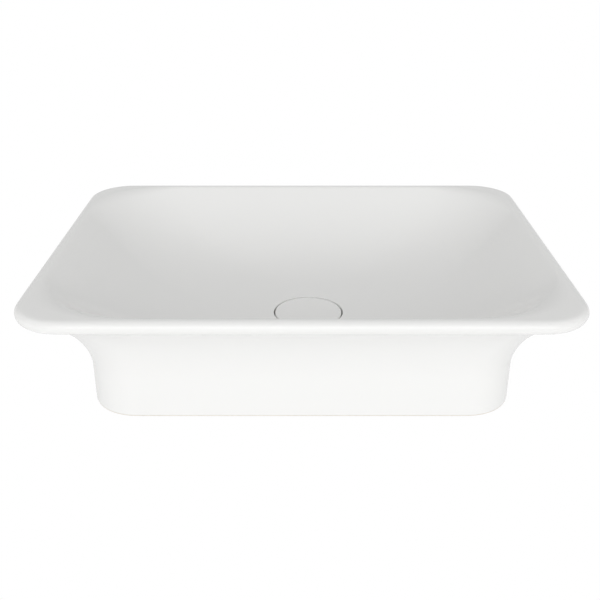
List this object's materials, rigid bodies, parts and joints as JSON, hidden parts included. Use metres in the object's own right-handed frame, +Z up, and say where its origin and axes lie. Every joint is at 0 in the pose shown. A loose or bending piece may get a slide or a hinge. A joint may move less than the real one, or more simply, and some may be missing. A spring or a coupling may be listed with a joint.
{
  "type": "countertop basin",
  "caption": "Rectangular ceramic countertop basin with a thin flared rim over a narrower foot, and a push-open waste under a flush round ceramic cap.",
  "frame": {"origin": "centre of the foot's outline, in the plane of the countertop that the foot stands on", "axes": "+Z up, +X to the user's right along the long side, -Y towards the user"},
  "size_m": [0.5, 0.38, 0.164],
  "materials": {
    "white_glaze": "gloss white glaze",
    "chromed_brass": "polished chrome on brass",
    "raw_brass": "turned, unpolished brass",
    "zinc_steel": "bright zinc plating",
    "spring_steel": "drawn stainless spring wire",
    "black_rubber": "matt moulded rubber",
    "grey_pad": "matt adhesive pad",
    "white_plastic": "satin natural plastic"
  },
  "bodies": {
    "basin": {"basin_body": "white_glaze", "waste_body": "chromed_brass", "flange_gasket": "black_rubber", "under_gasket": "black_rubber", "friction_washer": "white_plastic", "back_nut": "raw_brass", "cartridge_sleeve": "raw_brass", "spring_seat": "zinc_steel", "cartridge_spring": "spring_steel", "plunger_bush": "white_plastic", "stem_o_ring": "black_rubber", "bush_retaining_ring": "spring_steel"},
    "waste_plug": {"waste_cap": "white_glaze", "cap_bond_pad": "grey_pad", "cap_carrier": "raw_brass", "cap_seal": "black_rubber", "stem_stud": "zinc_steel", "stem_locknut": "zinc_steel", "latch_plunger": "raw_brass"},
    "latch": {"latch_pin": "spring_steel"}
  },
  "joints": [
    {"name": "cap_travel", "type": "slide", "parent": "basin", "child": "waste_plug", "axis": [0, 0, 1], "range_m": [0, 0.009], "deforming": ["cartridge_spring"]},
    {"name": "latch_swing", "type": "hinge", "parent": "basin", "child": "latch", "pos_m": [0.007, 0, -0.021], "axis": [1, 0, 0], "range_deg": [0, 7.93]}
  ],
  "couplings": [
    {"joint": "latch_swing", "follows": "cap_travel", "rad_per_m": 15.375}
  ]
}
